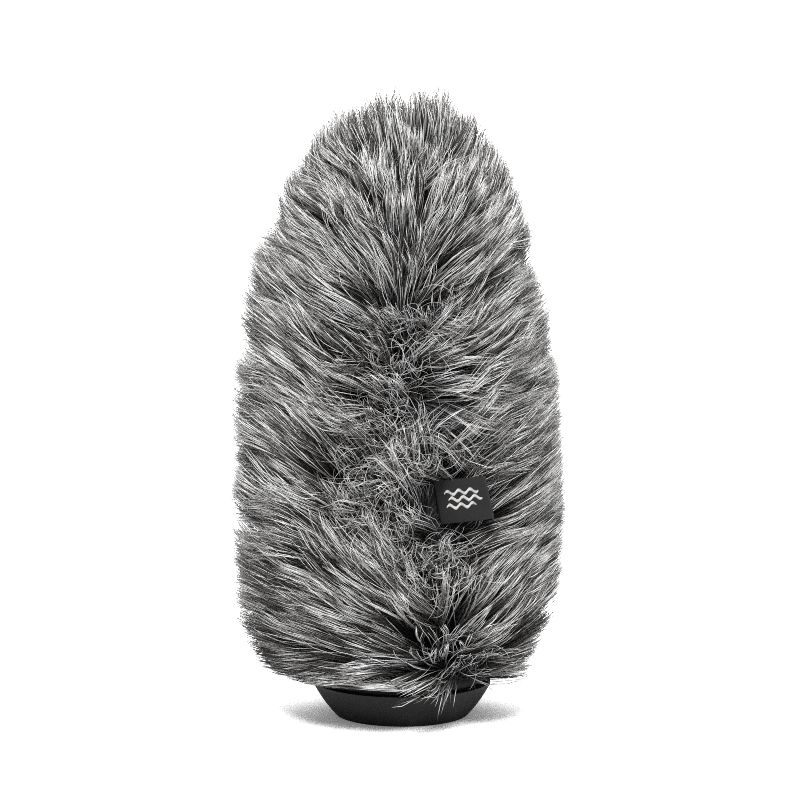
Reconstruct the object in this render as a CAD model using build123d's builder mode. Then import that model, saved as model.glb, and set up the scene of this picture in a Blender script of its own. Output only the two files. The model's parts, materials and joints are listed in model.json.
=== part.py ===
from build123d import *
from math import asin, cos, degrees, pi, radians, sin, sqrt
import os

# A slip-on furry windscreen for a 22 mm shotgun microphone, in millimetres.
# The microphone goes in from below, through a rubber grip ring in a bowl-shaped base, and its slots
# stand in an open lattice cage. Open-cell foam covers the cage, and a two-panel long-pile fur cover goes
# over the foam. The cover's elastic hem snaps into a groove of the base, and a woven label is sewn in its
# front seam.
# Z runs up from the base's foot to the nose, the label is at the front (-Y), and the origin is at the
# centre of the foot.

# ---------------------------------------------------------------- driving dimensions
mic_radius = 11.0

foot_radius = 21.9
rim_radius = 29.6
rim_height = 11.6
base_swell = 0.5
rim_edge = 0.9
foot_rounding = 1.3
lip_rounding = 0.7
base_opening = 16.5
base_floor = 2.6
base_floor_radius = 19.2

neck_radius = 25.5
lip_radius = 27.0
groove_height = 4.8
lip_height = 2.0
neck_bore = 23.6
barb_bottom = 9.0
barb_top = 11.6
barb_depth = 0.9

waist_height = 56.0
backing_radius = 38.0
backing_top = 191.0
backing_foot = 0.4
egg_power = 2.6
backing_thickness = 1.2
pile_radius = 51.5
pile_top = 203.0
pile_foot = 6.1
pile_hem = 12.1

seam_slope = 0.09
seam_foot_x = 18.76
seam_gap = 1.0
parting_width = 10.0

cage_inner = 19.3
cage_wall = 2.0
cage_top = 150.0
windows_around = 10
window_rows = 8

label_length = 19.6
label_height = 14.4
label_thickness = 0.9
label_mid_height = 78.5
label_lean = 27.0
label_skew = 6.0
label_press = 8.0
label_standoff = 1.0

clearance = 0.1

# ---------------------------------------------------------------- heights that follow from them
groove_top = rim_height + groove_height
lip_top = groove_top + lip_height
flange_top = lip_top + 2.0
cage_outer = cage_inner + cage_wall
cage_bottom = flange_top + clearance
dome_centre = cage_top + 3.0
foam_bottom = flange_top + clearance
outline_steps = 18
seam_tilt = 5.143  # the angle whose tangent is seam_slope, in degrees

os.makedirs("parts", exist_ok=True)


def save(builder, name):
    """Labels the finished piece and writes its STEP file."""
    builder.part.label = name
    export_step(builder.part, f"parts/{name}.step")


def egg_point(angle, radius, top, foot):
    """A point of the egg outline: 0 degrees is the waist, 90 the nose, negative angles the lower half."""
    along = abs(cos(radians(angle))) ** (2 / egg_power)
    up = abs(sin(radians(angle))) ** (2 / egg_power)
    if angle < 0:
        return (radius * along, waist_height - (waist_height - foot) * up)
    return (radius * along, waist_height + (top - waist_height) * up)


def egg_radius(height, radius, top, foot):
    """The egg outline's radius at a height."""
    half = (top - waist_height) if height > waist_height else (waist_height - foot)
    share = min(abs(height - waist_height) / half, 1.0)
    return radius * (1 - share**egg_power) ** (1 / egg_power)


def egg_outline(radius, top, foot, start_height):
    """Points up one side of the egg, from start_height to the nose on the axis."""
    share = (waist_height - start_height) / (waist_height - foot)
    start = -degrees(asin(share ** (egg_power / 2)))
    angles = [start + (90 - start) * step / outline_steps for step in range(outline_steps)]
    return [egg_point(a, radius, top, foot) for a in angles] + [(0, top)]


def inset_egg(inset):
    """The backing's outer egg, moved inwards by inset on every side."""
    return (backing_radius - inset, backing_top - inset, backing_foot + inset)


def seam_plane(offset):
    """The sloping plane of the two cover seams, moved offset to the right."""
    normal = (cos(radians(seam_tilt)), 0, sin(radians(seam_tilt)))
    return Plane(origin=(seam_foot_x, 0, 0), x_dir=(0, 1, 0), z_dir=normal).offset(offset)


def egg_shell(outer, inner, start_height):
    """A closed skin between two eggs, open at start_height."""
    with BuildPart() as shell:
        with BuildSketch(Plane.XZ):
            with BuildLine():
                out = Spline(egg_outline(*outer, start_height))
                into = Spline(egg_outline(*inner, start_height))
                Line(out @ 1, into @ 1)
                Line(out @ 0, into @ 0)
            make_face()
        revolve(axis=Axis.Z)
    return shell.part


# ---------------------------------------------------------------- base
# The bowl-shaped rubber base that shows below the fur, with the groove that holds the cover's hem.
with BuildPart() as base_shell:
    with BuildSketch(Plane.XZ):
        with BuildLine():
            SagittaArc((foot_radius, 0), (rim_radius, rim_height - rim_edge), -base_swell)
            Polyline(
                (rim_radius, rim_height - rim_edge),
                (rim_radius, rim_height),
                (neck_radius, rim_height),
                (neck_radius, groove_top),
                (lip_radius, groove_top),
                (lip_radius, lip_top),
                (neck_bore, lip_top),
                (neck_bore, barb_top),
                (neck_bore + barb_depth, barb_top - barb_depth),
                (neck_bore + barb_depth, barb_bottom - clearance),
                (neck_bore, barb_bottom - clearance - barb_depth),
                (base_floor_radius, base_floor),
                (base_opening, base_floor),
                (base_opening, 0),
                (foot_radius, 0),
            )
        make_face()
    revolve(axis=Axis.Z)
    foot_edge = base_shell.edges().filter_by(GeomType.CIRCLE).filter_by(
        lambda e: abs(e.radius - foot_radius) < 0.01 and e.center().Z < 0.01
    )
    fillet(foot_edge, radius=foot_rounding)
    lip_edges = base_shell.edges().filter_by(GeomType.CIRCLE).filter_by(
        lambda e: abs(e.radius - lip_radius) < 0.01
    )
    fillet(lip_edges, radius=lip_rounding)
save(base_shell, "base_shell")

# The rigid collar inside the base: it seats the grip ring, the cage and the foam, and its skirt has a
# barb that snaps into the base's bore.
sleeve_inner = 17.2
sleeve_outer = cage_inner - clearance
sleeve_draft = 0.3
sleeve_top = 34.0
ledge_height = 2.8
ledge_inner = 14.5
skirt_outer = neck_bore - clearance
skirt_inner = skirt_outer - 1.6
gusset_count = 6
gusset_thickness = 1.6
gusset_bottom = 12.0
gusset_bite = 0.5
with BuildPart() as base_collar:
    with BuildSketch(Plane.XZ):
        with BuildLine():
            Polyline(
                (sleeve_inner, base_floor),
                (sleeve_outer - sleeve_draft, base_floor),
                (sleeve_outer, lip_top),
                (skirt_inner, lip_top),
                (skirt_inner, barb_bottom),
                (skirt_outer, barb_bottom),
                (skirt_outer + barb_depth, barb_bottom + barb_depth),
                (skirt_outer, barb_top - barb_depth),
                (skirt_outer, lip_top),
                (lip_radius, lip_top),
                (lip_radius, flange_top),
                (sleeve_outer, flange_top),
                (sleeve_outer, sleeve_top),
                (ledge_inner, sleeve_top),
                (ledge_inner, sleeve_top - ledge_height),
                (sleeve_inner, sleeve_top - ledge_height),
                close=True,
            )
        make_face()
    revolve(axis=Axis.Z)
    with BuildSketch(Plane.XY.offset(gusset_bottom)):
        with PolarLocations((sleeve_outer + skirt_inner) / 2, gusset_count):
            Rectangle(skirt_inner - sleeve_outer + 2 * gusset_bite, gusset_thickness)
    extrude(amount=lip_top - gusset_bottom)
save(base_collar, "base_collar")

# The soft ring that grips the microphone with four lips.
grip_bottom = 0.8
grip_top = sleeve_top - ledge_height - clearance
grip_relief = 12.6
lip_length = 3.6
lip_count = 4
lead_in = 1.9
with BuildPart() as grip_ring:
    with BuildSketch(Plane.XZ):
        with BuildLine():
            Polyline(
                (mic_radius + lead_in, grip_bottom),
                (base_opening - clearance, grip_bottom),
                (base_opening - clearance, base_floor + clearance),
                (sleeve_inner - clearance, base_floor + clearance),
                (sleeve_inner - clearance, grip_top),
                (mic_radius, grip_top),
                (mic_radius, grip_bottom + lead_in),
                close=True,
            )
        make_face()
    revolve(axis=Axis.Z)
    grip_mouth = grip_bottom + lead_in
    lip_pitch = (grip_top - grip_mouth - lip_length) / (lip_count - 1)
    for lip in range(lip_count - 1):
        with BuildSketch(Plane.XY.offset(grip_mouth + lip * lip_pitch + lip_length)):
            Circle(grip_relief)
        extrude(amount=lip_pitch - lip_length, mode=Mode.SUBTRACT)
save(grip_ring, "grip_ring")

# ---------------------------------------------------------------- cage
# An open lattice tube, moulded as two halves that peg together, under a domed cap.
hoop_height = 3.4
rib_width = 3.2
cage_height = cage_top - cage_bottom
row_pitch = (cage_height - hoop_height) / window_rows
window_height = row_pitch - hoop_height
window_width = 2 * cage_inner * sin(pi / windows_around) - rib_width
first_window = 90 + 180 / windows_around
peg_radius = 0.6
peg_length = 1.5
peg_clearance = 0.05
peg_rows = [1, 3, 5, 7]

with BuildPart() as cage_tube:
    with BuildSketch(Plane.XY.offset(cage_bottom)):
        Circle(cage_outer)
        Circle(cage_inner, mode=Mode.SUBTRACT)
    extrude(amount=cage_height)
    for row in range(window_rows):
        window_middle = cage_bottom + hoop_height + row * row_pitch + window_height / 2
        with Locations(Location((0, 0, window_middle))):
            with PolarLocations(cage_inner, windows_around, start_angle=first_window):
                Box(3 * cage_wall, window_width, window_height, mode=Mode.SUBTRACT)

peg_places = [
    (0, side * (cage_inner + cage_wall / 2), cage_bottom + row * row_pitch + hoop_height / 2)
    for row in peg_rows
    for side in (-1, 1)
]
peg_turn = (0, 90, 0)

with BuildPart() as cage_half_left:
    add(cage_tube)
    split(bisect_by=Plane.YZ, keep=Keep.BOTTOM)
    with Locations(*[Location(p, peg_turn) for p in peg_places]):
        Cylinder(peg_radius, 2 * peg_length)
save(cage_half_left, "cage_half_left")

with BuildPart() as cage_half_right:
    add(cage_tube)
    split(bisect_by=Plane.YZ, keep=Keep.TOP)
    with Locations(*[Location(p, peg_turn) for p in peg_places]):
        Cylinder(peg_radius + peg_clearance, 2 * peg_length + 2 * clearance, mode=Mode.SUBTRACT)
save(cage_half_right, "cage_half_right")

# The cage's cap: a dome with petal windows on a spigot that plugs into the tube.
spigot_outer = cage_inner - clearance
spigot_inner = spigot_outer - 1.8
spigot_bottom = cage_top - 7.0
cap_seat = cage_top + clearance
petal_count = 6
petal_ring = 13.2
petal_length = 13.2
petal_width = 8.4
petal_bottom = dome_centre + 2.5
with BuildPart() as cage_nose_cap:
    with BuildSketch(Plane.XZ):
        with BuildLine():
            CenterArc((0, dome_centre), cage_outer, 0, 90)
            Line((0, dome_centre + cage_outer), (0, dome_centre + cage_inner))
            CenterArc((0, dome_centre), cage_inner, 90, -90)
            Polyline(
                (cage_inner, dome_centre),
                (spigot_inner, dome_centre - 2.0),
                (spigot_inner, spigot_bottom),
                (spigot_outer, spigot_bottom),
                (spigot_outer, cap_seat),
                (cage_outer, cap_seat),
                (cage_outer, dome_centre),
            )
        make_face()
    revolve(axis=Axis.Z)
    with BuildSketch(Plane.XY.offset(petal_bottom)):
        with PolarLocations(petal_ring, petal_count, start_angle=30):
            Ellipse(petal_length / 2, petal_width / 2)
    extrude(amount=cage_outer, mode=Mode.SUBTRACT)
save(cage_nose_cap, "cage_nose_cap")

# The foam pad in the dome that stops the microphone's tip.
stop_height = 162.0
with BuildPart() as mic_stop_pad:
    with Locations((0, 0, dome_centre)):
        Sphere(cage_inner - clearance)
    split(bisect_by=Plane.XY.offset(stop_height), keep=Keep.TOP)
save(mic_stop_pad, "mic_stop_pad")

# ---------------------------------------------------------------- foam
# The open-cell foam over the cage: a tube, and a cap that is glued on its top.
foam_inset = 2.2
foam_bore = cage_outer + clearance
foam_profile = inset_egg(foam_inset)
with BuildPart() as foam_body:
    with BuildSketch(Plane.XZ):
        with BuildLine():
            side = Spline(egg_outline(*foam_profile, foam_bottom))
            Line(side @ 1, (0, foam_bottom))
            Line((0, foam_bottom), side @ 0)
        make_face()
    revolve(axis=Axis.Z)
    with BuildSketch(Plane.XY.offset(foam_bottom)):
        Circle(foam_bore)
    extrude(amount=dome_centre - foam_bottom, mode=Mode.SUBTRACT)
    with Locations((0, 0, dome_centre)):
        Sphere(foam_bore, mode=Mode.SUBTRACT)

with BuildPart() as foam_tube:
    add(foam_body)
    split(bisect_by=Plane.XY.offset(cage_top - clearance), keep=Keep.BOTTOM)
save(foam_tube, "foam_tube")

with BuildPart() as foam_nose:
    add(foam_body)
    split(bisect_by=Plane.XY.offset(cage_top), keep=Keep.TOP)
save(foam_nose, "foam_nose")

# ---------------------------------------------------------------- fur cover
# Each panel is knitted backing with its pile. The pile lies over away from the seams, so its solid stops
# short of them, which leaves the parting open, and it closes round the backing's lower edge.
hem_edge = 17.0
pile_bite = 0.45
pile_step = hem_edge + 0.4
pile_inner = 29.9
backing = egg_shell(inset_egg(0), inset_egg(backing_thickness), hem_edge)
with BuildPart() as pile_body:
    with BuildSketch(Plane.XZ):
        with BuildLine():
            pile_side = Spline(egg_outline(pile_radius, pile_top, pile_foot, pile_hem))
            back_side = Spline(egg_outline(*inset_egg(pile_bite), pile_step))
            Line(pile_side @ 1, back_side @ 1)
            Polyline(back_side @ 0, (pile_inner, pile_step), (pile_inner, pile_hem), pile_side @ 0)
        make_face()
    revolve(axis=Axis.Z)

# The label's own plane: its Z runs up the seam and its X along the label, leaning out from the fur.
label_x = seam_foot_x - seam_slope * label_mid_height
backing_at_label = egg_radius(label_mid_height, *inset_egg(0))
label_root = (label_x, -sqrt((backing_at_label + label_standoff) ** 2 - label_x**2), label_mid_height)
seam_up = (-sin(radians(seam_tilt)), 0, cos(radians(seam_tilt)))
seam_across = (cos(radians(seam_tilt)), 0, sin(radians(seam_tilt)))
label_plane = Plane(origin=label_root, x_dir=seam_across, z_dir=seam_up)
label_plane = label_plane.rotated((0, 0, -label_lean)).rotated((0, -label_skew, 0))

# The hollow that the label presses into the pile, which also lets it swing.
hollow_turn = label_press + 3.0
hollow_margin = 1.2
hollow_depth = 34.0
with BuildPart() as label_hollow:
    with BuildSketch(label_plane.rotated((0, 0, hollow_turn))):
        with Locations((0, label_thickness)):
            Rectangle(label_length + 3 * hollow_margin, hollow_depth, align=(Align.MIN, Align.MAX))
    extrude(amount=label_height / 2 + hollow_margin, both=True)

backing_left = split(backing, bisect_by=seam_plane(-seam_gap / 2), keep=Keep.BOTTOM)
backing_right = split(backing, bisect_by=seam_plane(seam_gap / 2), keep=Keep.TOP)
pile_left = split(pile_body.part, bisect_by=seam_plane(-parting_width / 2), keep=Keep.BOTTOM)
pile_right = split(pile_body.part, bisect_by=seam_plane(parting_width / 2), keep=Keep.TOP)

with BuildPart() as fur_panel_left:
    add(backing_left)
    add(pile_left)
save(fur_panel_left, "fur_panel_left")

with BuildPart() as fur_panel_right:
    add(backing_right)
    add(pile_right)
    add(label_hollow, mode=Mode.SUBTRACT)
save(fur_panel_right, "fur_panel_right")

# The tape over the seams inside the cover, one loop from the front hem over the nose to the back hem.
tape_width = 9.0
tape_inset = backing_thickness + 0.2
tape_thickness = 0.7
tape = egg_shell(inset_egg(tape_inset), inset_egg(tape_inset + tape_thickness), foam_bottom)
with BuildPart() as seam_binding_tape:
    add(tape)
    split(bisect_by=seam_plane(-tape_width / 2), keep=Keep.TOP)
    split(bisect_by=seam_plane(tape_width / 2), keep=Keep.BOTTOM)
save(seam_binding_tape, "seam_binding_tape")

# The sewing thread that closes both seams, in the gap between the panels. It follows the seam plane's
# own section of the egg, from the front hem over the nose to the back hem.
thread_width = 0.6
thread_inset = 0.4
thread_depth = 0.5
thread_foot = hem_edge + 1.0


def seam_section(inset, start_height):
    """The section as points in the seam plane, whose X is the part's Y and whose Y runs up the seam."""
    side = []
    for radius, height in egg_outline(*inset_egg(inset), start_height):
        across = seam_foot_x - seam_slope * height
        if radius > across:
            side.append((sqrt(radius**2 - across**2), height / cos(radians(seam_tilt))))
    return [(-y, up) for y, up in side] + [(y, up) for y, up in reversed(side)]


with BuildPart() as seam_thread:
    with BuildSketch(seam_plane(0)):
        with BuildLine():
            outside = Spline(seam_section(thread_inset, thread_foot))
            inside = Spline(seam_section(thread_inset + thread_depth, thread_foot))
            Line(outside @ 0, inside @ 0)
            Line(outside @ 1, inside @ 1)
        make_face()
    extrude(amount=thread_width / 2, both=True)
save(seam_thread, "seam_thread")

# ---------------------------------------------------------------- hem
# The hem's tape forms a channel round the elastic cord and runs up inside the backing.
cord_radius = 1.1
channel_radius = 1.75
cord_place = (27.4, rim_height + groove_height / 2 + 0.35)
tape_foot = [(28.0, 15.5), (28.6, 15.3)]
tape_head = [(31.0, 20.0), (30.5, 20.2)]
with BuildPart() as hem_binding:
    with BuildSketch(Plane.XZ):
        with Locations(cord_place):
            Circle(channel_radius)
        with BuildLine():
            Polyline(*tape_foot, *tape_head, close=True)
        make_face()
        with Locations(cord_place):
            Circle(cord_radius + clearance, mode=Mode.SUBTRACT)
    revolve(axis=Axis.Z)
save(hem_binding, "hem_binding")

with BuildPart() as hem_elastic:
    with BuildSketch(Plane.XZ):
        with Locations(cord_place):
            Circle(cord_radius)
    revolve(axis=Axis.Z)
save(hem_elastic, "hem_elastic")

# The row of stitches round the hem, between the hem tape and the pile.
stitch_count = 40
stitch_share = 0.6
stitch_radius = 0.25
stitch_place = (29.25, 15.9)
with BuildPart() as hem_thread:
    for stitch in range(stitch_count):
        turn = 360 / stitch_count
        with BuildSketch(Plane.XZ.rotated((0, 0, stitch * turn))):
            with Locations(stitch_place):
                Circle(stitch_radius)
        revolve(axis=Axis.Z, revolution_arc=turn * stitch_share)
save(hem_thread, "hem_thread")

# ---------------------------------------------------------------- label
# A woven label folded in two: its free ends are sewn in the seam, and its fold is at the far end.
fold_slit = 0.1
slit_length = label_length - 0.6
with BuildPart() as label_tag:
    with BuildSketch(label_plane):
        with Locations((label_length / 2, 0)):
            Rectangle(label_length, label_thickness)
        with Locations((slit_length / 2, 0)):
            Rectangle(slit_length, fold_slit, mode=Mode.SUBTRACT)
    extrude(amount=label_height / 2, both=True)
save(label_tag, "label_tag")
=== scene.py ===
import json
import math

import bpy
import numpy as np
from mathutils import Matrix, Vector, kdtree


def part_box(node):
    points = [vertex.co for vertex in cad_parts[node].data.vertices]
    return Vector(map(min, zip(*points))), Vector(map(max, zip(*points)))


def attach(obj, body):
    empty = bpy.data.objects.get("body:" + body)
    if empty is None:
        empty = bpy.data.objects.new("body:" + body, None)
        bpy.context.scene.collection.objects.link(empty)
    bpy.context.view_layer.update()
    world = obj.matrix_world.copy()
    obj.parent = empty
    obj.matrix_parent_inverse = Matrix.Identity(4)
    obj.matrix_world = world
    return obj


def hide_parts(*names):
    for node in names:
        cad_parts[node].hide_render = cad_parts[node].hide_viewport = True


# A furry windscreen for a shotgun microphone. The fur is grown as real strands, each a closed tapered
# tube rooted on the cover's knitted backing, and combed away from a parting that runs down the front.

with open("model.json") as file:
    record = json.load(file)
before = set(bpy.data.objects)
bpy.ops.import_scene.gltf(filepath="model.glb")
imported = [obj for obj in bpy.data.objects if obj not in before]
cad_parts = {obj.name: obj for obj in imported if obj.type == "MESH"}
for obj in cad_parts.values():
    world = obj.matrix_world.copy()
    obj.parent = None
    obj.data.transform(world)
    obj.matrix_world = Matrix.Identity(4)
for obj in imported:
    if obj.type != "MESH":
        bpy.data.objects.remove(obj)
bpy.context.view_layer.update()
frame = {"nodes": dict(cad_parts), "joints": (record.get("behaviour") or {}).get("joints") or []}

MM = 0.001

# ------------------------------------------------------------ sizes from the frame
left_low, left_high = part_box("fur_panel_left")
pile_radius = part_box("fur_panel_right")[1].x
pile_bottom = left_low.z
backing_radius = pile_radius - 13.5 * MM
backing_top = left_high.z - 12.0 * MM
backing_foot = 0.4 * MM
backing_hem = pile_bottom + 4.9 * MM
waist = 56.0 * MM
egg_power = 2.6
backing_thickness = 1.0 * MM

# The loose tips end on a wider egg.
tips_radius = pile_radius + 5.4 * MM
tips_top = left_high.z + 2.5 * MM
tips_foot = 2.0 * MM
tips_waist = 70.0 * MM
tips_power = 2.42
tips_low_power = 3.1
# The pile leans a little to the left of the axis, most of all above its middle.
tips_lean_height = np.array([20, 90, 150, 180, 200]) * MM
tips_lean_x = np.array([-2.2, -1.6, -3.2, -1.6, 0.5]) * MM

# The front seam leans: its x at the floor, and how far it goes left for each unit up.
seam_foot_x = 18.76 * MM
seam_slope = 0.09


# ------------------------------------------------------------ the egg that the cover follows
def egg_radius(height):
    """The backing's outer radius at a height."""
    height = np.asarray(height, dtype=float)
    half = np.where(height > waist, backing_top - waist, waist - backing_foot)
    share = np.clip(np.abs(height - waist) / half, 0, 1)
    return backing_radius * (1 - share**egg_power) ** (1 / egg_power)


def tips_reach(points):
    """Where points are against the egg of the loose tips: below 1 inside it, and above 1 outside."""
    x, y, z = points.T
    half = np.where(z > tips_waist, tips_top - tips_waist, tips_waist - tips_foot)
    power = np.where(z > tips_waist, tips_power, tips_low_power)
    lean = np.interp(z, tips_lean_height, tips_lean_x)
    around = (np.hypot(x - lean, y) / tips_radius) ** power
    return (around + np.abs((z - tips_waist) / half) ** power) ** (1 / power)


def egg_normals(points):
    """Outward unit normals of the egg through each point."""
    x, y, z = points.T
    around = np.maximum(np.hypot(x, y), 1e-6) ** (egg_power - 2) / backing_radius**egg_power
    half = np.where(z > waist, backing_top - waist, waist - backing_foot)
    up = np.sign(z - waist) * np.abs(z - waist) ** (egg_power - 1) / half**egg_power
    return unit(np.stack([x * around, y * around, up], axis=1))


def unit(vectors):
    """The vectors at length 1."""
    return vectors / np.maximum(np.linalg.norm(vectors, axis=1, keepdims=True), 1e-12)


def smooth(low, high, values):
    """0 below low, 1 above high, and a smooth step between."""
    t = np.clip((np.asarray(values, dtype=float) - low) / (high - low), 0, 1)
    return t * t * (3 - 2 * t)


def profile(count=4000):
    """Heights of the backing's outline from hem to nose, with the share of its area below each."""
    turn = np.linspace(-1, 1, count)
    height = np.where(
        turn < 0,
        waist + (backing_hem - waist) * np.abs(turn),
        waist + (backing_top - waist) * np.sin(np.abs(turn) * math.pi / 2) ** (2 / egg_power),
    )
    order = np.argsort(height)
    height = height[order]
    radius = egg_radius(height)
    step = np.hypot(np.diff(radius), np.diff(height)) * (radius[1:] + radius[:-1]) / 2
    share = np.concatenate([[0], np.cumsum(step)])
    return height, share / share[-1]


profile_height, profile_share = profile()


# The plastic number gives the steps of an even scatter in two directions.
plastic_number = 1.32471795724474602596


def scatter(count, offset):
    """Evenly scattered points over the backing."""
    index = np.arange(count) + offset
    u = (0.5 + index / plastic_number) % 1
    v = (0.5 + index / plastic_number**2) % 1
    azimuth = (u * 2 - 1) * math.pi
    height = np.interp(v, profile_share, profile_height)
    radius = egg_radius(height)
    return np.stack([radius * np.sin(azimuth), -radius * np.cos(azimuth), height], axis=1)


seed = 20
rng = np.random.default_rng(seed)


def draws(count, spread):
    """Random numbers round 0 with this spread."""
    return rng.normal(0, spread, count)


# ------------------------------------------------------------ how the fur is combed
# Heights and angles of the comb, for the front left, the front right, and the sides and back.
comb_height = np.array([14, 24, 42, 56, 75, 92, 107, 125, 147, 161, 175, 188, 197]) * MM
comb_left = np.array([8, 20, 32, 46, 60, 58, 44, 42, 40, 34, 44, 58, 72])
comb_right = np.array([2, 30, 58, 50, 32, 38, 33, 34, 42, 38, 48, 64, 74])
comb_around = np.array([12, 15, 17, 13, 11, 8, 14, 12, 17, 24, 34, 50, 68])
# How far round from the parting the front's comb gives way to the sides' one.
side_comb_from = math.radians(35)
side_comb_full = math.radians(95)
# Right behind, the two sides come together in a line that is combed up.
back_line_from = math.radians(148)
back_line_full = math.radians(176)
back_line_rise = 84
# Near the hem the sides' comb starts sooner, and behind it hangs over the base's rim.
hem_comb_full = 16 * MM
hem_comb_end = 36 * MM
hem_comb_sooner = 1.4
hem_hang = 42
hem_hang_from = math.radians(88)
hem_hang_full = math.radians(112)
# Towards the nose, the comb runs straight to the left and right instead of round the egg.
nose_comb_from = 125 * MM
nose_comb_full = 198 * MM

# The parting wanders to the left of the seam on the front, and to its right over the nose.
parting_height = np.array([14, 45, 80, 98, 115, 140, 165, 178, 195]) * MM
parting_x = np.array([17.5, 15.0, 11.5, 6.0, 2.4, 1.0, 2.5, 6.0, 9.0]) * MM


def from_parting(points):
    """How far round from the parting each point is, in radians, positive to the right."""
    x, y, z = points.T
    azimuth = np.arctan2(x, -y)
    radius = np.maximum(egg_radius(np.minimum(z, backing_top - 1 * MM)), 4 * MM)
    part = np.arcsin(np.clip(np.interp(z, parting_height, parting_x) / radius, -1, 1))
    return (azimuth - part + math.pi) % (2 * math.pi) - math.pi


# Places on the front where the pile was ruffled: x, height and reach in MM, the way it lies there (0 right,
# 90 up) and its locks' scatter in degrees, and the shares of its length and of its strands that stay.
ruffles = [
    (17, 21, 5, 92, 85, 0.52, 0.85),
    (15, 29, 5, 100, 50, 0.8, 1.0),
    (9, 34, 8, 122, 14, 0.95, 1.0),
    (21, 38, 7, 60, 14, 0.95, 1.0),
    (12, 50, 7, 110, 35, 0.75, 0.7),
    (9, 60, 8, 125, 60, 0.6, 0.4),
    (0, 70, 9, 130, 60, 0.55, 0.36),
    (-9, 56, 6, 120, 25, 0.5, 0.25),
    (-8, 70, 8, 125, 35, 0.6, 0.4),
    (-17, 78, 6, 120, 40, 0.6, 0.45),
    (-6, 84, 9, 125, 45, 0.62, 0.55),
    (4, 90, 6, 100, 70, 0.58, 0.55),
    (0, 97, 6, 120, 70, 0.55, 0.4),
    (-7, 106, 8, 145, 50, 0.66, 0.7),
    (5, 105, 7, -48, 14, 1.0, 1.0),
    (9, 115, 6, -22, 14, 0.9, 1.0),
    (0, 115, 5, 120, 70, 0.7, 0.9),
    (-6, 121, 6, 145, 30, 0.85, 0.9),
    (6, 126, 6, 14, 10, 0.95, 1.0),
    (-3, 129, 5, 130, 50, 0.7, 0.9),
    (8, 137, 7, 70, 90, 0.58, 0.9),
    (-1, 139, 5, 98, 9, 1.0, 0.9),
    (7, 150, 5, 40, 30, 0.8, 0.5),
    (-10, 148, 7, 166, 9, 1.0, 1.0),
    (1, 153, 6, 96, 20, 1.0, 0.8),
    (1, 164, 6, 92, 24, 1.0, 1.0),
    (5, 176, 7, 96, 24, 1.0, 1.0),
]


def ruffled(roots):
    """How ruffles change each root: how far they hold it, their way as an angle with its scatter, in
    radians, and the shares of length and of strands that they leave."""
    weight = np.full(len(roots), 1e-6)
    way = np.zeros((len(roots), 2))
    scatter_sum = np.zeros(len(roots))
    length_sum = weight.copy()
    count_sum = weight.copy()
    front = smooth(2 * MM, 12 * MM, -roots[:, 1])
    for x, height, reach, angle, ruffle, length, count in ruffles:
        gap = np.hypot(roots[:, 0] - x * MM, roots[:, 2] - height * MM) / (reach * MM)
        share = (1 - smooth(0.5, 1.15, gap)) * front
        weight += share
        way += share[:, None] * np.array([math.cos(math.radians(angle)), math.sin(math.radians(angle))])
        scatter_sum += share * math.radians(ruffle)
        length_sum += share * length
        count_sum += share * count
    held = np.clip(weight, 0, 1)
    angle = np.arctan2(way[:, 1], way[:, 0])
    kept_length = 1 + (length_sum / weight - 1) * held
    kept_count = 1 + (count_sum / weight - 1) * held
    return held, angle, scatter_sum / weight * held, kept_length, kept_count


def comb_direction(points, normals, side, turn, held, way):
    """The combed direction along the surface: away from the parting and up. turn is an extra angle up.
    held is how far a ruffle's own way, as an angle from +X upwards, takes over."""
    x, y, z = points.T
    away_angle = np.abs(from_parting(points))
    left = np.interp(z, comb_height, comb_left)
    right = np.interp(z, comb_height, comb_right)
    around = np.interp(z, comb_height, comb_around)
    front = np.where(side < 0, left, right)
    hem = 1 - smooth(hem_comb_full, hem_comb_end, z)
    share = smooth(side_comb_from, side_comb_full, away_angle * (1 + hem_comb_sooner * hem))
    rise = front * (1 - share) + around * share
    rise += (back_line_rise - rise) * smooth(back_line_from, back_line_full, away_angle)
    rise -= hem_hang * hem * smooth(hem_hang_from, hem_hang_full, np.abs(np.arctan2(x, -y)))
    rise = np.radians(rise) + turn
    radius = np.maximum(np.hypot(x, y), 1 * MM)
    across = np.stack([-y / radius, x / radius, np.zeros(len(x))], axis=1) * side[:, None]
    sideways = np.zeros_like(across)
    sideways[:, 0] = np.where(away_angle < math.pi / 2, side, np.sign(x))
    nose = smooth(nose_comb_from, nose_comb_full, z)[:, None]
    across = unit(across * (1 - nose) + sideways * nose + 1e-6)
    flow = across * np.cos(rise)[:, None]
    flow[:, 2] += np.sin(rise)
    own = np.stack([np.cos(way), np.zeros(len(x)), np.sin(way)], axis=1)
    flow = flow * (1 - held)[:, None] + own * held[:, None]
    flow -= normals * np.sum(flow * normals, axis=1, keepdims=True)
    return unit(flow)


# The points of a strand's centre line, as shares of its length, and where its bend turns nothing.
strand_steps = np.array([0, 0.14, 0.32, 0.54, 0.77, 1.0])
bend_middle = 0.25


def grow(roots, side, turn, bend, length, lift_root, lift_tip, held, way, cling=0.4, steps=strand_steps):
    """Strand centre lines, as (strand, step, xyz). A strand leaves its root at lift_root above the surface
    and lies over to lift_tip, and bend turns it on the way. cling says how much it follows the egg's curve
    instead of running straight."""
    root_normals = egg_normals(roots)
    points = roots.copy()
    line = [points.copy()]
    for start, end in zip(steps[:-1], steps[1:]):
        middle = (start + end) / 2
        normals = unit(root_normals * (1 - cling) + egg_normals(points) * cling)
        lift = lift_root + (lift_tip - lift_root) * middle**0.6
        bent = bend * (middle - bend_middle)
        flow = comb_direction(points, normals, side, turn + bent, held, way + bent)
        heading = flow * np.cos(lift)[:, None] + normals * np.sin(lift)[:, None]
        points = points + heading * (length * (end - start))[:, None]
        line.append(points.copy())
    return np.stack(line, axis=1)


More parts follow.
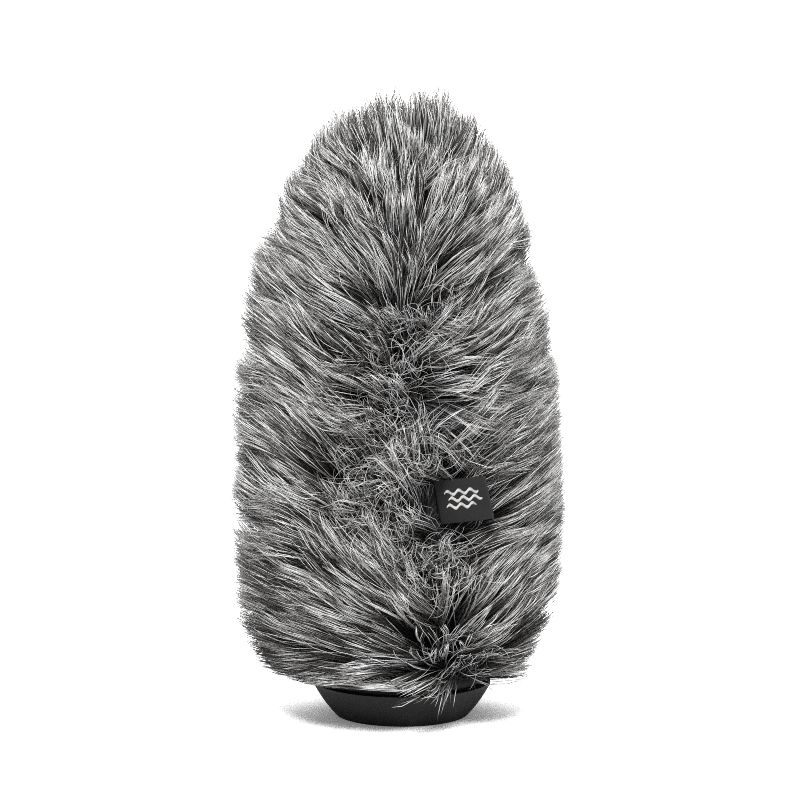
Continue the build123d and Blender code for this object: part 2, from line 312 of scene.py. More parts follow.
def nearest(points, centres):
    """Index of the nearest centre to each point."""
    tree = kdtree.KDTree(len(centres))
    for index, centre in enumerate(centres):
        tree.insert(centre, index)
    tree.balance()
    return np.array([tree.find(point)[1] for point in points])


# Strands lie together in wisps, wisps in locks, and locks in tufts.
root_count = 104000
wisp_count = 24000
lock_count = 3600
tuft_count = 420
pile_length = 31.0 * MM

tuft_roots = scatter(tuft_count, 11)
lock_roots = scatter(lock_count, 5)
wisp_roots = scatter(wisp_count, 3)
strand_roots = scatter(root_count, 0)
# Ruffled places have lost some strands.
strand_roots = strand_roots[rng.uniform(0, 1, root_count) < ruffled(strand_roots)[4]]
strand_count = len(strand_roots)


class Variation:
    """How each root of a set differs from the plain comb: its turn, bend, length, lift and scatter. The
    spreads of turn, bend and lift are given in degrees, and that of length as a share."""

    def __init__(self, count, turn, bend, length, lift):
        self.turn = draws(count, math.radians(turn))
        self.bend = draws(count, math.radians(bend))
        self.length = 1 + draws(count, length)
        self.lift = draws(count, math.radians(lift))
        self.scatter = draws(count, 1)
        self.side = rng.uniform(0, 1, count)

    def taken(self, index):
        """The same variation, for the children with these parents."""
        child = object.__new__(Variation)
        for name, values in vars(self).items():
            setattr(child, name, values[index])
        return child

    def plus(self, other, own_scatter):
        """Both variations together; the ruffles' scatter is mostly this one's."""
        both = object.__new__(Variation)
        both.turn = self.turn + other.turn
        both.bend = self.bend + other.bend
        both.length = self.length * other.length
        both.lift = self.lift + other.lift
        both.scatter = self.scatter + own_scatter * other.scatter
        both.side = self.side
        return both


# The crown is the place on top of the nose where the pile stands up.
crown_x = 4 * MM
crown_y = -1 * MM
crown_reach = 10 * MM
crown_foot = 150 * MM


def at_crown(roots):
    """How near each root is to the crown: 1 at its middle, fading to 0 round it, and 0 below its foot."""
    below = 9 * (roots[:, 2] < crown_foot)
    gap = np.hypot(roots[:, 0] - crown_x, roots[:, 1] - crown_y) / crown_reach + below
    return np.exp(-(gap**2))


tufts = Variation(tuft_count, 12, 7, 0.09, 8)
locks = Variation(lock_count, 7, 8, 0.07, 6)
wisps = Variation(wisp_count, 5, 8, 0.08, 6)
strands = Variation(strand_count, 3.5, 6, 0.1, 4)

# Some locks on top of the nose stand up and are longer, most of all at the crown.
standing_foot = 182 * MM
standing_share = 0.2
standing_share_at_crown = 0.3
standing_lift = math.radians(28)
standing_length = 0.14
lock_at_crown = at_crown(lock_roots)
lock_stands = rng.uniform(0, 1, lock_count) < standing_share + standing_share_at_crown * lock_at_crown
standing_locks = (lock_roots[:, 2] > standing_foot) & lock_stands
locks.lift += standing_lift * standing_locks
locks.length *= 1 + (standing_length + standing_length * lock_at_crown) * standing_locks

tuft_of_lock = nearest(lock_roots, tuft_roots)
lock_of_wisp = nearest(wisp_roots, lock_roots)
wisp_of_strand = nearest(strand_roots, wisp_roots)
lock_of_strand = lock_of_wisp[wisp_of_strand]


# Within this distance of the parting, in MM, roots may fall to either side of it.
crossing_reach = 3.5
# Heights between which the nose's and the hem's pile differ from the rest, and the parting's own width.
nose_from, nose_full = 150 * MM, 191 * MM
hem_full, hem_end = 20 * MM, 42 * MM
near_full, near_end = 1 * MM, 9 * MM
# How much shorter the pile is there.
nose_shorter = 0.18
hem_shorter = 0.14
near_shorter = 0.12
# The lift off the backing in degrees, at a strand's root and at its tip, and what is added to it at the
# nose, at the hem, where ruffles leave the pile short, and at the crown.
plain_lift = (50, 17)
nose_lift = (4, 12)
hem_lift = (-18, -5)
short_lift = (35, 75)
crown_lift = (8, 28)
tip_lift_share = 0.8
# Ruffled strands bend more, up to a limit of their scatter, in radians.
ruffle_bend = 2.4
ruffle_bend_limit = 1.2


def lines_of(roots, variation):
    """Grown centre lines at these roots, and the side of the parting that each of them falls to."""
    away = from_parting(roots) * np.hypot(roots[:, 0], roots[:, 1])
    crossing = (variation.side - 0.5) * 2 * crossing_reach * MM
    side = np.where(away + crossing < 0, -1.0, 1.0)
    nose = smooth(nose_from, nose_full, roots[:, 2])
    hem = 1 - smooth(hem_full, hem_end, roots[:, 2])
    near = 1 - smooth(near_full, near_end, np.abs(away))
    held, angle, scatter_angle, share, _ = ruffled(roots)
    angle = angle + scatter_angle * variation.scatter
    length = pile_length * (1 - nose_shorter * nose) * (1 - near_shorter * near) * (1 - hem_shorter * hem)
    length = length * share * variation.length
    short = (1 - share) * (1 - hem)
    crown = at_crown(roots)
    lift_root, lift_tip = [
        np.radians(plain + at_nose * nose + at_hem * hem + when_short * short + on_crown * crown)
        for plain, at_nose, at_hem, when_short, on_crown in zip(
            plain_lift, nose_lift, hem_lift, short_lift, crown_lift
        )
    ]
    lift_root = lift_root + variation.lift
    lift_tip = lift_tip + variation.lift * tip_lift_share
    bend = variation.bend * (1 + ruffle_bend * np.clip(scatter_angle, 0, ruffle_bend_limit))
    return grow(roots, side, variation.turn, bend, length, lift_root, lift_tip, held, angle), side


# Where the pile is scattered more than this, its strands stay apart.
apart_scatter = math.radians(80)
gather_power = 1.3


def gathered(lines, side, parent_lines, parent_side, parent, pull):
    """Lines drawn together towards their parents' lines, more and more towards their tips."""
    apart = ruffled(lines[:, 0])[2] > apart_scatter
    pulled = pull[parent] * (side == parent_side[parent]) * ~apart
    together = pulled[:, None] * strand_steps[None, :] ** gather_power
    return lines + (parent_lines[parent] - lines) * together[:, :, None]


def gather_pull(roots, low, high):
    """How strongly each root's children are drawn together: most near the parting, least behind."""
    front = 1 - smooth(0.35, 1.0, np.abs(from_parting(roots)))
    return rng.uniform(low, high, len(roots)) * (0.7 + 0.3 * front)


tuft_lines, tuft_side = lines_of(tuft_roots, tufts)
tuft_pull = gather_pull(tuft_roots, 0.1, 0.5)
lock_variation = locks.plus(tufts.taken(tuft_of_lock), 0.3)
lock_lines, lock_side = lines_of(lock_roots, lock_variation)
lock_lines = gathered(lock_lines, lock_side, tuft_lines, tuft_side, tuft_of_lock, tuft_pull)
lock_pull = gather_pull(lock_roots, 0.35, 0.9)
wisp_variation = lock_variation.taken(lock_of_wisp).plus(wisps, 0.35)
wisp_lines, wisp_side = lines_of(wisp_roots, wisp_variation)
wisp_lines = gathered(wisp_lines, wisp_side, lock_lines, lock_side, lock_of_wisp, lock_pull)
wisp_pull = gather_pull(wisp_roots, 0.4, 0.95)
strand_variation = wisp_variation.taken(wisp_of_strand).plus(strands, 0.15)
strand_lines, strand_side = lines_of(strand_roots, strand_variation)
strand_lines = gathered(strand_lines, strand_side, wisp_lines, wisp_side, wisp_of_strand, wisp_pull)

# Each strand wavers a little more the nearer its tip, in MM.
frizz_size = 0.22
frizz = rng.normal(0, 1, (strand_count, len(strand_steps), 3)) * frizz_size * MM
strand_lines += frizz * strand_steps[None, :, None]

# Tangles: single strands curl round where the pile was ruffled this much, in degrees. Their count goes by
# the square of the ruffle's reach in MM.
curl_steps = np.linspace(0, 1, 13)
tangle_ruffle = (45, 100)
curls_per_area = 1.1
# Their bend in radians, length in MM, and lift in degrees.
curl_bend = (1.2, 4.5)
curl_length = (17, 27)
curl_root_lift = (55, 80)
curl_tip_lift = (5, 40)


def tangle_roots():
    """Roots over the most ruffled places, as many as their size asks for."""
    places = []
    for x, height, reach, _, ruffle, _, _ in ruffles:
        if not tangle_ruffle[0] <= ruffle <= tangle_ruffle[1]:
            continue
        count = int(curls_per_area * reach**2)
        turn = rng.uniform(0, 2 * math.pi, count)
        gap = reach * np.sqrt(rng.uniform(0, 1, count))
        places.append(np.stack([x + gap * np.cos(turn), height + gap * np.sin(turn)], axis=1))
    x, height = np.concatenate(places).T * MM
    return np.stack([x, -np.sqrt(egg_radius(height) ** 2 - x**2), height], axis=1)


curl_roots = tangle_roots()
curl_count = len(curl_roots)
curl_lines = grow(
    curl_roots,
    np.ones(curl_count),
    np.zeros(curl_count),
    rng.uniform(*curl_bend, curl_count) * rng.choice([-1, 1], curl_count),
    rng.uniform(*curl_length, curl_count) * MM,
    np.radians(rng.uniform(*curl_root_lift, curl_count)),
    np.radians(rng.uniform(*curl_tip_lift, curl_count)),
    np.ones(curl_count),
    rng.uniform(0, 2 * math.pi, curl_count),
    steps=curl_steps,
)

# ------------------------------------------------------------ how far out the tips reach
# The knot, low on the parting, whose strands hang free.
knot_x, knot_height = 17.0 * MM, 20.0 * MM
knot_reach = 6 * MM
knot_gap = np.hypot(strand_roots[:, 0] - knot_x, strand_roots[:, 2] - knot_height)
in_knot = (knot_gap < knot_reach) & (strand_roots[:, 1] < 0)

# Steps in the outline, where a lock's tips stand out over a shorter one above: x, height and reach in MM,
# and their depth as a share of the egg.
steps_out = [
    (-37, 196, 6, 0.075),
    (-49, 169, 6, 0.06),
    (-54, 112, 5, 0.04),
    (-48, 42, 6, 0.05),
    (47, 158, 5, 0.05),
    (54, 126, 5, 0.04),
    (54, 62, 6, 0.04),
]
# All allowances are shares of the egg of tips. These are the spreads from tuft to tuft, lock to lock and
# strand to strand, and how much wider they are at the nose.
tuft_spread = 0.02
lock_spread = 0.011
strand_spread = 0.01
nose_spread = 0.6
# Locks and wisps end in points: the strands in their middles are the longest.
middle_longer = 0.014
lock_point, lock_size = 0.028, 2.2 * MM
wisp_point, wisp_size = 0.009, 0.9 * MM
deepest = -0.1
furthest, furthest_at_nose = 0.012, 0.022
# A few stray strands stand out on top of the nose, and the crown's standing locks stand out further.
stray_foot = 180 * MM
stray_share = 0.12
stray_reach, stray_reach_at_crown = 0.03, 0.06
standing_reach, standing_reach_at_crown = 0.025, 0.075
overall_limit = 1.085
knot_free = 0.3


def tips_allowance():
    """How far each strand's tip may reach against the egg of tips, where 1 is on it."""
    nose = smooth(165 * MM, 185 * MM, strand_roots[:, 2])
    allowed = draws(tuft_count, tuft_spread)[tuft_of_lock[lock_of_strand]]
    allowed = allowed + draws(lock_count, lock_spread)[lock_of_strand]
    allowed = (allowed + draws(strand_count, strand_spread)) * (1 + nose_spread * nose)
    lock_gap = np.linalg.norm(wisp_roots - lock_roots[lock_of_wisp], axis=1) / lock_size
    wisp_gap = np.linalg.norm(strand_roots - wisp_roots[wisp_of_strand], axis=1) / wisp_size
    allowed += middle_longer - lock_point * lock_gap[wisp_of_strand] - wisp_point * wisp_gap
    tips = strand_lines[:, -1]
    for x, height, reach, depth in steps_out:
        gap = np.hypot(tips[:, 0] - x * MM, tips[:, 2] - height * MM) / (reach * MM)
        allowed -= depth * np.exp(-(gap**2))
    allowed = 1 + np.clip(allowed, deepest, furthest + furthest_at_nose * nose)
    stray = (rng.uniform(0, 1, strand_count) < stray_share) & (strand_roots[:, 2] > stray_foot)
    crown = at_crown(strand_roots)
    allowed += (stray_reach + stray_reach_at_crown * crown) * stray * rng.uniform(0, 1, strand_count)
    lock_stand = standing_locks * rng.uniform(0.3, 1, lock_count)
    allowed += (standing_reach + standing_reach_at_crown * crown) * lock_stand[lock_of_strand]
    return np.minimum(allowed, overall_limit) + knot_free * in_knot


def shortened(lines, allowed, rounds=7):
    """Lines that reach past their allowance, shortened towards their roots until they end on it."""
    shortest = np.full(len(lines), 0.35)
    longest = np.ones(len(lines))
    for _ in range(rounds):
        half_way = (shortest + longest) / 2
        ends = lines[:, 0] + (lines[:, -1] - lines[:, 0]) * half_way[:, None]
        outside = tips_reach(ends) > allowed
        longest = np.where(outside, half_way, longest)
        shortest = np.where(outside, shortest, half_way)
    inside = tips_reach(lines[:, -1]) <= allowed
    kept_share = np.where(inside, 1.0, shortest)
    return lines[:, :1] + (lines - lines[:, :1]) * kept_share[:, None, None]


strand_lines = shortened(strand_lines, tips_allowance())

# The hem's elastic holds the lowest strands level with the base's rim. Their lower edge is a little uneven,
# and rises outside the rim and towards the front. The knot's strands hang below it, clear of the floor.
hem_uneven = 1.1 * MM
hem_rim = 31 * MM
hem_rise_out = 0.22
hem_rise_front = 0.04
floor_gap = 3.5 * MM
hem_low = pile_bottom + np.abs(draws(strand_count, hem_uneven))
hem_out = np.maximum(np.hypot(strand_lines[:, :, 0], strand_lines[:, :, 1]) - hem_rim, 0)
hem_low = hem_low[:, None] + hem_rise_out * hem_out + hem_rise_front * np.maximum(-strand_lines[:, :, 1], 0)
strand_lines[:, :, 2] += np.maximum(hem_low - strand_lines[:, :, 2], 0) * ~in_knot[:, None]
strand_lines[:, :, 2] = np.maximum(strand_lines[:, :, 2], floor_gap)


# ------------------------------------------------------------ room for the label
def label_axes():
    """The label's middle, its three directions (along, up, out) and its half sizes."""
    corners = np.array([v.co for v in frame["nodes"]["label_tag"].data.vertices], dtype=float)
    rough = (corners.max(axis=0) + corners.min(axis=0)) / 2
    directions = np.linalg.svd(corners - corners.mean(axis=0))[2]
    sewn_edge = np.array(frame["joints"][0]["pos_m"])
    toward = [rough - sewn_edge, np.array([0, 0, 1]), rough * np.array([1, 1, 0])]
    directions = np.array([d * np.sign(d @ t) for d, t in zip(directions, toward)])
    spans = corners @ directions.T
    middle = (spans.max(axis=0) + spans.min(axis=0)) / 2
    return middle @ directions, directions, (spans.max(axis=0) - spans.min(axis=0)) / 2


label_middle, label_directions, label_half = label_axes()


def in_label_frame(points):
    """Distances from the label's sewn edge along it, from its middle upwards, and out from its plane."""
    local = (points - label_middle) @ label_directions.T
    local[..., 0] += label_half[0]
    return local


def over_label(local, margin):
    """1 where a point in the label's frame is over or under the label, fading to 0 within margin."""
    along = smooth(-margin, 0, local[..., 0]) * (1 - smooth(0, margin, local[..., 0] - 2 * label_half[0]))
    return along * (1 - smooth(0, margin, np.abs(local[..., 1]) - label_half[1]))


# The pile under the label is pressed down, past the label's furthest inward swing and its cloth's waves.
# A strand counts as over the label up to over_height above it.
press_slope = math.tan(math.radians(9.5))
press_margin = 3 * MM
wave_room = 0.45 * MM
press_gap = label_half[2] + wave_room + 0.2 * MM
over_height = 26 * MM
local_lines = in_label_frame(strand_lines)
ceiling = -press_gap - press_slope * np.clip(local_lines[..., 0], 0, 2 * label_half[0])
too_high = np.maximum(local_lines[..., 2] - ceiling, 0) * (local_lines[..., 2] < over_height)
too_high *= over_label(local_lines, press_margin)
too_high[:, 0] = 0
strand_lines -= too_high[..., None] * label_directions[2]


# Strands that still pass this near the label are left out; they are tested at points on each step.
crossing_margin = 0.8 * MM
crossing_share = 0.3
points_per_step = 4


def crosses_label(lines):
    """Whether each strand still passes over or through the label."""
    crossing = np.zeros(len(lines), dtype=bool)
    for way in np.linspace(0, 1, points_per_step + 1)[:-1]:
        points = lines[:, :-1] * (1 - way) + lines[:, 1:] * way
        local = in_label_frame(points)
        ceiling = -label_half[2] - wave_room - press_slope * np.clip(local[..., 0], 0, 2 * label_half[0])
        over = over_label(local, crossing_margin) > crossing_share
        near = over & (local[..., 2] > ceiling) & (local[..., 2] < over_height)
        crossing |= near.any(axis=1)
    return crossing


clear = ~crosses_label(strand_lines)

# ------------------------------------------------------------ strands as tubes
strand_sides = 3
root_width = 0.29 * MM
tip_width = 0.07 * MM
# A strand is thickest a little way up from its root: steps along it, and its width there.
taper_steps = (0, 0.1, 0.55, 1)
taper_widths = (0.7, 1.0, 0.9, tip_width / root_width)


def tube_points(lines, widths, steps):
    """The tubes' points, as (strand, point, xyz): rings of strand_sides corners, and one point at the tip."""
    count, step_count = lines.shape[:2]
    along = np.gradient(lines, axis=1)
    along /= np.linalg.norm(along, axis=2, keepdims=True)
    outward = np.broadcast_to(egg_normals(lines[:, 0])[:, None, :], along.shape)
    across = np.cross(along, outward)
    across /= np.maximum(np.linalg.norm(across, axis=2, keepdims=True), 1e-9)
    above = np.cross(across, along)
    taper = np.interp(steps, taper_steps, taper_widths)
    rings = step_count - 1
    verts = np.empty((count, rings * strand_sides + 1, 3))
    for corner in range(strand_sides):
        angle = 2 * math.pi * corner / strand_sides + math.pi / 2
        reach = widths[:, None, None] / 2 * taper[None, :rings, None]
        offset = (across[:, :rings] * math.cos(angle) + above[:, :rings] * math.sin(angle)) * reach
        verts[:, corner : rings * strand_sides : strand_sides] = lines[:, :rings] + offset
    verts[:, -1] = lines[:, -1]
    return verts


def tube_faces(rings):
    """One tube's faces: the quads of its wall, and the triangles of its tip and of the cap at its root."""
    quads = []
    for ring in range(rings - 1):
        for corner in range(strand_sides):
            a = ring * strand_sides + corner
            b = ring * strand_sides + (corner + 1) % strand_sides
            quads.append((a, b, b + strand_sides, a + strand_sides))
    tip = rings * strand_sides
    last = (rings - 1) * strand_sides
    tris = [(last + c, last + (c + 1) % strand_sides, tip) for c in range(strand_sides)]
    tris.append((2, 1, 0))
    return quads, tris


def tube_mesh(name, lines, widths, shades, spans, material):
    """One mesh of closed, tapered tubes. Its UV layer OFBake holds each strand's own shade in u, and in v
    the way from its root, up to its own span."""
    count, step_count = lines.shape[:2]
    steps = strand_steps if step_count == len(strand_steps) else curl_steps
    rings = step_count - 1
    verts = tube_points(lines, widths, steps)
    quads, tris = tube_faces(rings)
    per_strand = rings * strand_sides + 1
    one = np.concatenate([np.array(quads).ravel(), np.array(tris).ravel()])
    loops = (one[None, :] + (np.arange(count) * per_strand)[:, None]).ravel()
    sizes = np.tile(np.concatenate([np.full(len(quads), 4), np.full(len(tris), 3)]), count)
    starts = np.concatenate([[0], np.cumsum(sizes)[:-1]])

    mesh = bpy.data.meshes.new(name)
    mesh.vertices.add(count * per_strand)
    mesh.vertices.foreach_set("co", verts.ravel())
    mesh.loops.add(len(loops))
    mesh.loops.foreach_set("vertex_index", loops.astype(np.int32))
    mesh.polygons.add(len(sizes))
    mesh.polygons.foreach_set("loop_start", starts.astype(np.int32))
    mesh.polygons.foreach_set("loop_total", sizes.astype(np.int32))
    mesh.update(calc_edges=True)

    # The layer stays just inside its unit square.
    step_of = np.append(np.repeat(steps[:rings], strand_sides), 1.0)
    uv = np.empty((count, len(one), 2))
    uv[:, :, 0] = shades[:, None]
    uv[:, :, 1] = step_of[one][None, :] * spans[:, None]
    layer = mesh.uv_layers.new(name="OFBake")
    layer.data.foreach_set("uv", (uv * 0.98 + 0.01).astype(np.float32).ravel())
    return finished(mesh, material)


def finished(mesh, material):
    """A smooth-shaded object of this mesh, in the scene."""
    mesh.polygons.foreach_set("use_smooth", np.ones(len(mesh.polygons), dtype=bool))
    mesh.materials.append(material)
    made = bpy.data.objects.new(mesh.name, mesh)
    bpy.context.scene.collection.objects.link(made)
    return made


# ------------------------------------------------------------ materials
def new_material(name):
    """A node material with its Principled shader: (material, nodes, links, shader)."""
    made = bpy.data.materials.new(name)
    made.use_nodes = True
    nodes = made.node_tree.nodes
    return made, nodes, made.node_tree.links, nodes["Principled BSDF"]


def ramp(nodes, stops):
    """A colour ramp of (position, (r, g, b)) stops."""
    made = nodes.new("ShaderNodeValToRGB")
    band = made.color_ramp
    while len(band.elements) < len(stops):
        band.elements.new(0.5)
    for element, (place, colour) in zip(band.elements, stops):
        element.position = place
        element.color = (*colour, 1)
    return made


def grey(value, warm=0.0):
    """A grey colour, warmed by a share."""
    return (value * (1 + warm), value, value * (1 - warm))


def fur_material():
    """Strand colours from black through charcoal to silver, each darker towards its root: painted shade of
    the deep pile, partly also a darker undercoat.
    """
    made, nodes, links, shader = new_material("fur_pile")
    place = nodes.new("ShaderNodeUVMap")
    place.uv_map = "OFBake"
    split = nodes.new("ShaderNodeSeparateXYZ")
    links.new(place.outputs["UV"], split.inputs["Vector"])
    shade = ramp(
        nodes,
        [
            (0.0, grey(0.01)),
            (0.25, grey(0.03, 0.08)),
            (0.42, grey(0.12, 0.1)),
            (0.6, grey(0.4, 0.05)),
            (0.8, grey(0.74, 0.01)),
            (1.0, grey(0.95, -0.01)),
        ],
    )
    links.new(split.outputs["X"], shade.inputs["Fac"])
    # Painted shade: this ramp darkens each strand towards its root for the shade deep in the pile, partly
    # also a darker undercoat.
    depth = ramp(nodes, [(0.0, grey(0.03)), (0.3, grey(0.16)), (0.6, grey(0.75)), (1.0, grey(1.0))])
    links.new(split.outputs["Y"], depth.inputs["Fac"])
    tint = nodes.new("ShaderNodeMix")
    tint.data_type = "RGBA"
    tint.blend_type = "MULTIPLY"
    tint.inputs["Factor"].default_value = 1.0
    links.new(shade.outputs["Color"], tint.inputs["A"])
    links.new(depth.outputs["Color"], tint.inputs["B"])
    links.new(tint.outputs["Result"], shader.inputs["Base Color"])
    shader.inputs["Roughness"].default_value = 0.42
    shader.inputs["Specular IOR Level"].default_value = 0.5
    return made


def simple_material(name, colour, roughness, grain=0.0, scale=900.0, strength=0.2):
    """A plain moulded or woven finish: colour with a fine procedural variation, and a bump."""
    made, nodes, links, shader = new_material(name)
    place = nodes.new("ShaderNodeTexCoord")
    noise = nodes.new("ShaderNodeTexNoise")
    noise.inputs["Scale"].default_value = scale
    noise.inputs["Detail"].default_value = 4
    links.new(place.outputs["Object"], noise.inputs["Vector"])
    low = tuple(c * (1 - grain) for c in colour)
    high = tuple(c * (1 + grain) for c in colour)
    tone = ramp(nodes, [(0.3, low), (0.7, high)])
    links.new(noise.outputs["Fac"], tone.inputs["Fac"])
    links.new(tone.outputs["Color"], shader.inputs["Base Color"])
    bump = nodes.new("ShaderNodeBump")
    bump.inputs["Strength"].default_value = strength
    bump.inputs["Distance"].default_value = 0.1 * MM
    links.new(noise.outputs["Fac"], bump.inputs["Height"])
    links.new(bump.outputs["Normal"], shader.inputs["Normal"])
    shader.inputs["Roughness"].default_value = roughness
    return made


fur_finish = fur_material()
knit_finish = simple_material("knit_backing", grey(0.012), 0.95, 0.4, 1500, 0.6)
rubber_finish = simple_material("base_rubber_grain", grey(0.025), 0.6, 0.12, 2600, 0.25)
plastic_finish = simple_material("cage_plastic_grain", grey(0.02), 0.5, 0.15, 1800, 0.15)
foam_finish = simple_material("foam_cells", grey(0.03), 0.95, 0.5, 1400, 1.0)
tape_finish = simple_material("twill_tape", grey(0.018), 0.85, 0.3, 2400, 0.5)
label_finish = simple_material("label_weave", grey(0.005), 0.6, 0.3, 3000, 0.4)
label_thread_finish = simple_material("label_thread", grey(0.62, 0.02), 0.5, 0.12, 4000, 0.3)

# ------------------------------------------------------------ fur pieces
# Strands are silver, charcoal or black. The shares are those of the silver ones, and of both brighter kinds.
silver_share = 0.34
bright_share = 0.48
silver_shades = (0.74, 1.0)
charcoal_shades = (0.4, 0.74)
black_shades = (0.0, 0.4)
# Most strands share their wisp's kind, and a lock has more of one kind than the next one.
own_kind_share = 0.4
lock_kind_spread = 0.1
# Painted shade: the sides get a few more of the dark strands, darker where the frontal light falls off.
painted_side_shade = 0.075
own_kind = rng.uniform(0, 1, strand_count) < own_kind_share
kind = np.where(own_kind, rng.uniform(0, 1, strand_count), rng.uniform(0, 1, wisp_count)[wisp_of_strand])
kind += draws(lock_count, lock_kind_spread)[lock_of_strand]
# Painted shade on the sides, given by more dark strands there.
kind += painted_side_shade * smooth(0.5, 1.1, np.abs(from_parting(strand_roots)))
silver = rng.uniform(*silver_shades, strand_count)
charcoal = rng.uniform(*charcoal_shades, strand_count)
black = rng.uniform(*black_shades, strand_count)
shade_value = np.where(kind < silver_share, silver, np.where(kind < bright_share, charcoal, black))
# Bright strands are thicker.
strand_width = root_width * rng.uniform(0.75, 1.15, strand_count) * (0.85 + 0.45 * shade_value)

# Short strands stay as dark as the depth of the pile that they end in: their v covers only the root end of
# the painted depth shade, partly also a darker undercoat.
full_span = 22 * MM
least_span = 0.55
strand_span = np.linalg.norm(strand_lines[:, -1] - strand_lines[:, 0], axis=1) / full_span
strand_span = np.clip(strand_span, least_span, 1)

seam_side = strand_roots[:, 0] + seam_slope * strand_roots[:, 2] - seam_foot_x
strands_per_piece = 7000


def place_fur(piece, panel):
    """The piece rides the root body, and stands in for this panel's CAD solid."""
    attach(piece, "root")
    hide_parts(f"fur_panel_{panel}")


for panel, members in (("left", seam_side < 0), ("right", seam_side >= 0)):
    own = np.flatnonzero(members & clear)
    own = own[np.argsort(strand_roots[own, 2], kind="stable")]
    zones = math.ceil(len(own) / strands_per_piece)
    for zone, part in enumerate(np.array_split(own, zones)):
        piece = tube_mesh(
            f"fur_{panel}_{zone + 1}",
            strand_lines[part],
            strand_width[part],
            shade_value[part],
            strand_span[part],
            fur_finish,
        )
        place_fur(piece, panel)

# Curls that would leave the outline or cross the label are left out.
curl_floor_gap = 6 * MM
curl_furthest = 1.01
curl_lines[:, :, 2] = np.maximum(curl_lines[:, :, 2], curl_floor_gap)
curl_reach = tips_reach(curl_lines.reshape(-1, 3)).reshape(curl_lines.shape[:2]).max(axis=1)
kept = (curl_reach < curl_furthest) & ~crosses_label(curl_lines)
curls = tube_mesh(
    "fur_tangle",
    curl_lines[kept],
    root_width * rng.uniform(0.5, 0.85, kept.sum()),
    rng.uniform(0.62, 1.0, kept.sum()),
    np.full(kept.sum(), 0.95),
    fur_finish,
)
place_fur(curls, "left")


# ------------------------------------------------------------ knitted backing
def mesh_object(name, verts, faces, material):
    """A smooth-shaded object made of these points and faces."""
    mesh = bpy.data.meshes.new(name)
    mesh.from_pydata([tuple(v) for v in verts], [], faces)
    mesh.validate()
    return finished(mesh, material)


knit_top_share = 0.9995
knit_least_radius = 0.2 * MM
half_seam_gap = 0.5 * MM
top_thickness_share = 0.3


def backing_panel(name, panel, rows=90, columns=80):
    """One panel of the knit: a closed skin from the front seam round to the back one."""
    heights = np.interp(np.linspace(0, knit_top_share, rows), profile_share, profile_height)
    skins = []
    for inset in (0.0, backing_thickness):
        radius = np.maximum(egg_radius(heights) - inset, knit_least_radius)
        seam = np.arcsin(np.clip((seam_foot_x - seam_slope * heights) / radius, -1, 1))
        gap = half_seam_gap / radius
        if panel == "left":
            start, end = seam - gap, -math.pi - seam + gap
        else:
            start, end = seam + gap, math.pi - seam - gap
            end = np.maximum(end, start)
        share = np.linspace(0, 1, columns)
        azimuth = start[:, None] + (end - start)[:, None] * share[None, :]
        ring = np.stack(
            [
                radius[:, None] * np.sin(azimuth),
                -radius[:, None] * np.cos(azimuth),
                np.repeat(heights[:, None], columns, axis=1) - inset * top_thickness_share,
            ],
            axis=2,
        )
        skins.append(ring.reshape(-1, 3))
    size = rows * columns
    verts = np.concatenate(skins)
    faces = []
    for row in range(rows - 1):
        for column in range(columns - 1):
            a = row * columns + column
            quad = (a, a + 1, a + columns + 1, a + columns)
            faces.append(quad)
            faces.append(tuple(size + v for v in reversed(quad)))
    rim = [row * columns for row in range(rows)]
    rim += [(rows - 1) * columns + column for column in range(1, columns)]
    rim += [row * columns + columns - 1 for row in range(rows - 2, -1, -1)]
    rim += [column for column in range(columns - 2, 0, -1)]
    for here, there in zip(rim, rim[1:] + rim[:1]):
        faces.append((here, there, size + there, size + here))
    return mesh_object(name, verts, faces, knit_finish)


for panel in ("left", "right"):
    place_fur(backing_panel(f"knit_{panel}", panel), panel)

# ------------------------------------------------------------ woven label
tape_thickness = 0.3 * MM
selvedge_pinch = 0.6


def label_sag(along, up):
    """How far the label's cloth waves out of its plane."""
    share = np.clip(along / (2 * label_half[0]), 0, 1)
    height = up / label_half[1]
    return (0.35 * np.sin(2.4 * height + 0.5) * share**2 + 0.25 * share**3 * height**2) * MM


def label_point(along, up, out):
    """Points given in the label's own frame, moved by its sag."""
    sagged = out + label_sag(along, up)
    local = np.stack(np.broadcast_arrays(along - label_half[0], up, sagged), axis=-1)
    return label_middle + local @ label_directions


def folded_path(reach, columns):
    """(along, out) down the front layer, round the fold and back, at this distance from the fold's core."""
    length = 2 * label_half[0] - label_half[2]
    flat = np.linspace(0, length, columns)
    turn = np.linspace(math.pi / 2, -math.pi / 2, 9)[1:-1]
    along = np.concatenate([flat, length + reach * np.cos(turn), flat[::-1]])
    out = np.concatenate([np.full(columns, reach), reach * np.sin(turn), np.full(columns, -reach)])
    return along, out


def folded_label(rows=36, columns=40):
    """A strip of woven tape folded in two, with rounded selvedges."""
    up = np.sin(np.linspace(-math.pi / 2, math.pi / 2, rows)) * label_half[1]
    pinch = 1 - (np.abs(up) / label_half[1]) ** 12 * selvedge_pinch
    outer_along, outer_out = folded_path(label_half[2], columns)
    inner_along, inner_out = folded_path(label_half[2] - tape_thickness, columns)
    middle_out = (outer_out + inner_out) / 2
    loop_along = np.concatenate([outer_along, inner_along[::-1]])
    loop_middle = np.concatenate([middle_out, middle_out[::-1]])
    loop_out = np.concatenate([outer_out, inner_out[::-1]])
    out = loop_middle + (loop_out - loop_middle) * pinch[:, None]
    grid = label_point(loop_along[None, :], up[:, None], out)
    size = len(loop_along)
    half = size // 2
    faces = []
    for row in range(rows - 1):
        for column in range(size):
            a, b = row * size + column, row * size + (column + 1) % size
            faces.append((a, b, b + size, a + size))
    for column in range(half - 1):
        a, b = column, column + 1
        c, d = size - 1 - b, size - 1 - a
        faces.append((d, c, b, a))
        top = (rows - 1) * size
        faces.append((top + a, top + b, top + c, top + d))
    return mesh_object("label_tape", grid.reshape(-1, 3), faces, label_finish)


